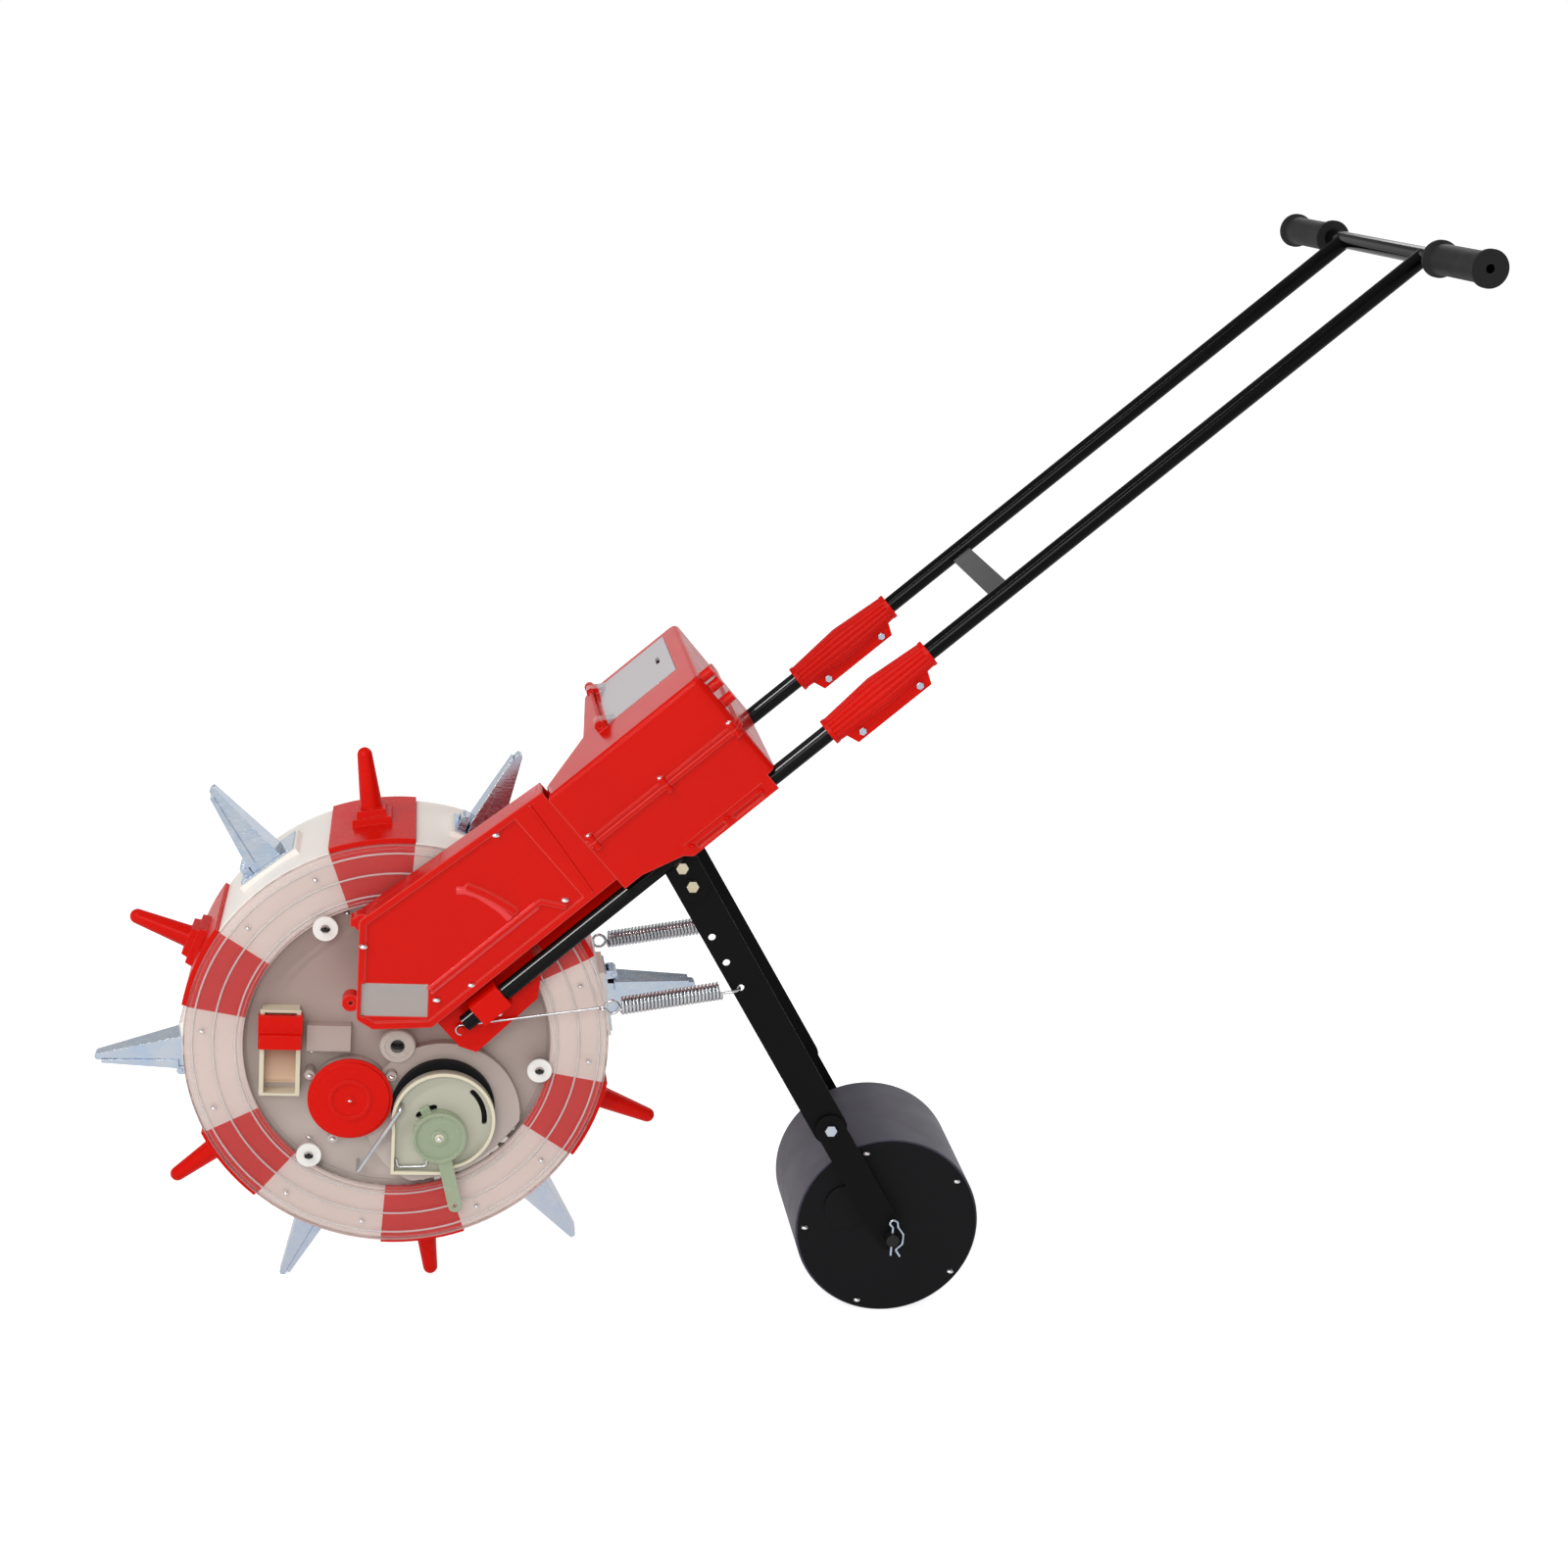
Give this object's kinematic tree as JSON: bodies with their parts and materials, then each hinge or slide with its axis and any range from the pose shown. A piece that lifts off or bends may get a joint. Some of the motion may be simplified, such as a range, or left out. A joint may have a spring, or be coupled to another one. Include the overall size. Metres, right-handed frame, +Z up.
{
  "type": "walk-behind seed planter",
  "caption": "Hand-pushed seed planter: a toothed drum with hinged duckbills, a seed hopper and chute, a cross handle and a sprung press roller.",
  "frame": {"origin": "on the ground, under the middle of the machine's length and width", "axes": "+X back towards the handle, +Z up, -Y to the operator's left, where the chute is"},
  "size_m": [1.1754, 0.509, 1.0613],
  "materials": {
    "cream_plastic": "moulded cream plastic, semi-gloss",
    "red_plastic": "moulded red plastic, glossy",
    "clear_plastic": "clear moulded plastic",
    "smoked_plastic": "smoked translucent plastic",
    "zinc_steel": "zinc-plated steel",
    "black_plastic": "moulded black plastic",
    "white_nylon": "white nylon",
    "pale_green_plastic": "pale green translucent plastic",
    "black_paint": "gloss black painted steel",
    "grip_rubber": "matte dark grey rubber",
    "roller_plastic": "dark grey plastic"
  },
  "bodies": {
    "frame": {"left_plate": "cream_plastic", "right_plate": "cream_plastic", "seed_box": "cream_plastic", "gate_frame": "cream_plastic", "gear_cover": "cream_plastic", "tie_bolt": "zinc_steel", "meter_stud": "zinc_steel", "rate_disc": "black_plastic", "meter_housing": "cream_plastic", "seed_cover": "red_plastic", "left_bracket": "red_plastic", "right_bracket": "red_plastic", "left_tube": "black_paint", "right_tube": "black_paint", "arm_lugs": "black_paint", "handle": "black_paint", "grips": "grip_rubber", "outer_clamps": "red_plastic", "inner_clamps": "red_plastic", "clamp_screws": "zinc_steel", "hopper_base": "red_plastic", "hopper_top": "red_plastic", "lid_pin": "zinc_steel", "chute_back": "red_plastic", "chute_cover": "red_plastic", "chute_window": "clear_plastic", "pivot_bolts": "zinc_steel", "left_spring": "zinc_steel", "right_spring": "zinc_steel"},
    "drum": {"bill_seats": "cream_plastic", "spacers": "red_plastic", "left_ring": "clear_plastic", "right_ring": "clear_plastic", "fixed_bills": "zinc_steel", "hinge_pins": "zinc_steel", "ring_gear": "clear_plastic"},
    "meter": {"metering_gear": "white_nylon", "seed_roller": "white_nylon"},
    "gate": {"seed_gate": "red_plastic"},
    "rate_lever": {"rate_lever": "pale_green_plastic"},
    "lid": {"hopper_lid": "smoked_plastic"},
    "press_arm": {"left_arm": "black_paint", "right_arm": "black_paint", "arm_strips": "black_paint", "arm_bolts": "zinc_steel", "roller_axle": "zinc_steel", "roller_spacers": "zinc_steel", "split_pins": "zinc_steel"},
    "press_roller": {"roller_barrel": "roller_plastic", "end_discs": "black_plastic", "filler_plug": "black_plastic"},
    "guide_roller_1": {"guide_roller_1": "white_nylon"},
    "guide_roller_2": {"guide_roller_2": "white_nylon"},
    "guide_roller_3": {"guide_roller_3": "white_nylon"},
    "flap_1": {"flap_1": "zinc_steel"},
    "flap_2": {"flap_2": "zinc_steel"},
    "flap_3": {"flap_3": "zinc_steel"},
    "flap_4": {"flap_4": "zinc_steel"},
    "flap_5": {"flap_5": "zinc_steel"},
    "flap_6": {"flap_6": "zinc_steel"}
  },
  "joints": [
    {"name": "drum_spin", "type": "hinge", "parent": "frame", "child": "drum", "pos_m": [-0.3059, 0, 0.26566], "axis": [0, -1, 0], "continuous": true},
    {"name": "meter_spin", "type": "hinge", "parent": "frame", "child": "meter", "pos_m": [-0.26189, 0, 0.19659], "axis": [0, -1, 0], "continuous": true},
    {"name": "guide_roller_1_spin", "type": "hinge", "parent": "frame", "child": "guide_roller_1", "pos_m": [-0.37466, 0, 0.38009], "axis": [0, -1, 0], "continuous": true},
    {"name": "guide_roller_2_spin", "type": "hinge", "parent": "frame", "child": "guide_roller_2", "pos_m": [-0.38437, 0, 0.15766], "axis": [0, -1, 0], "continuous": true},
    {"name": "guide_roller_3_spin", "type": "hinge", "parent": "frame", "child": "guide_roller_3", "pos_m": [-0.17386, 0, 0.24593], "axis": [0, -1, 0], "continuous": true},
    {"name": "flap_1_hinge", "type": "hinge", "parent": "drum", "child": "flap_1", "pos_m": [-0.36082, 0, 0.06456], "axis": [0, -1, 0], "range_deg": [0, 28], "stiffness_Nm_per_rad": 0.06, "springref_deg": -34.38},
    {"name": "flap_2_hinge", "type": "hinge", "parent": "drum", "child": "flap_2", "pos_m": [-0.1592, 0, 0.11755], "axis": [0, -1, 0], "range_deg": [0, 28], "stiffness_Nm_per_rad": 0.06, "springref_deg": -34.38},
    {"name": "flap_3_hinge", "type": "hinge", "parent": "drum", "child": "flap_3", "pos_m": [-0.10428, 0, 0.31865], "axis": [0, -1, 0], "range_deg": [0, 28], "stiffness_Nm_per_rad": 0.06, "springref_deg": -34.38},
    {"name": "flap_4_hinge", "type": "hinge", "parent": "drum", "child": "flap_4", "pos_m": [-0.25098, 0, 0.46676], "axis": [0, -1, 0], "range_deg": [0, 28], "stiffness_Nm_per_rad": 0.06, "springref_deg": -34.38},
    {"name": "flap_5_hinge", "type": "hinge", "parent": "drum", "child": "flap_5", "pos_m": [-0.4526, 0, 0.41377], "axis": [0, -1, 0], "range_deg": [0, 28], "stiffness_Nm_per_rad": 0.06, "springref_deg": -34.38},
    {"name": "flap_6_hinge", "type": "hinge", "parent": "drum", "child": "flap_6", "pos_m": [-0.50752, 0, 0.21267], "axis": [0, -1, 0], "range_deg": [0, 28], "stiffness_Nm_per_rad": 0.06, "springref_deg": -34.38},
    {"name": "gate_slide", "type": "slide", "parent": "frame", "child": "gate", "axis": [0, 0, -1], "range_m": [0, 0.036]},
    {"name": "rate_lever_hinge", "type": "hinge", "parent": "frame", "child": "rate_lever", "pos_m": [-0.2645, 0, 0.18306], "axis": [0, -1, 0], "range_deg": [-18, 18]},
    {"name": "lid_hinge", "type": "hinge", "parent": "frame", "child": "lid", "pos_m": [-0.133, 0, 0.57187], "axis": [0, -1, 0], "range_deg": [0, 110]},
    {"name": "press_arm_hinge", "type": "hinge", "parent": "frame", "child": "press_arm", "pos_m": [-0.0548, 0, 0.45509], "axis": [0, -1, 0], "range_deg": [0, 22], "stiffness_Nm_per_rad": 20, "springref_deg": -45.84, "deforming": ["left_spring", "right_spring"]},
    {"name": "press_roller_spin", "type": "hinge", "parent": "press_arm", "child": "press_roller", "pos_m": [0.1702, 0, 0.0896], "axis": [0, -1, 0], "continuous": true}
  ],
  "couplings": [
    {"joint": "meter_spin", "follows": "drum_spin", "ratio": 2.2581},
    {"joint": "guide_roller_1_spin", "follows": "drum_spin", "ratio": 19.583},
    {"joint": "guide_roller_2_spin", "follows": "drum_spin", "ratio": 19.583},
    {"joint": "guide_roller_3_spin", "follows": "drum_spin", "ratio": 19.583}
  ]
}
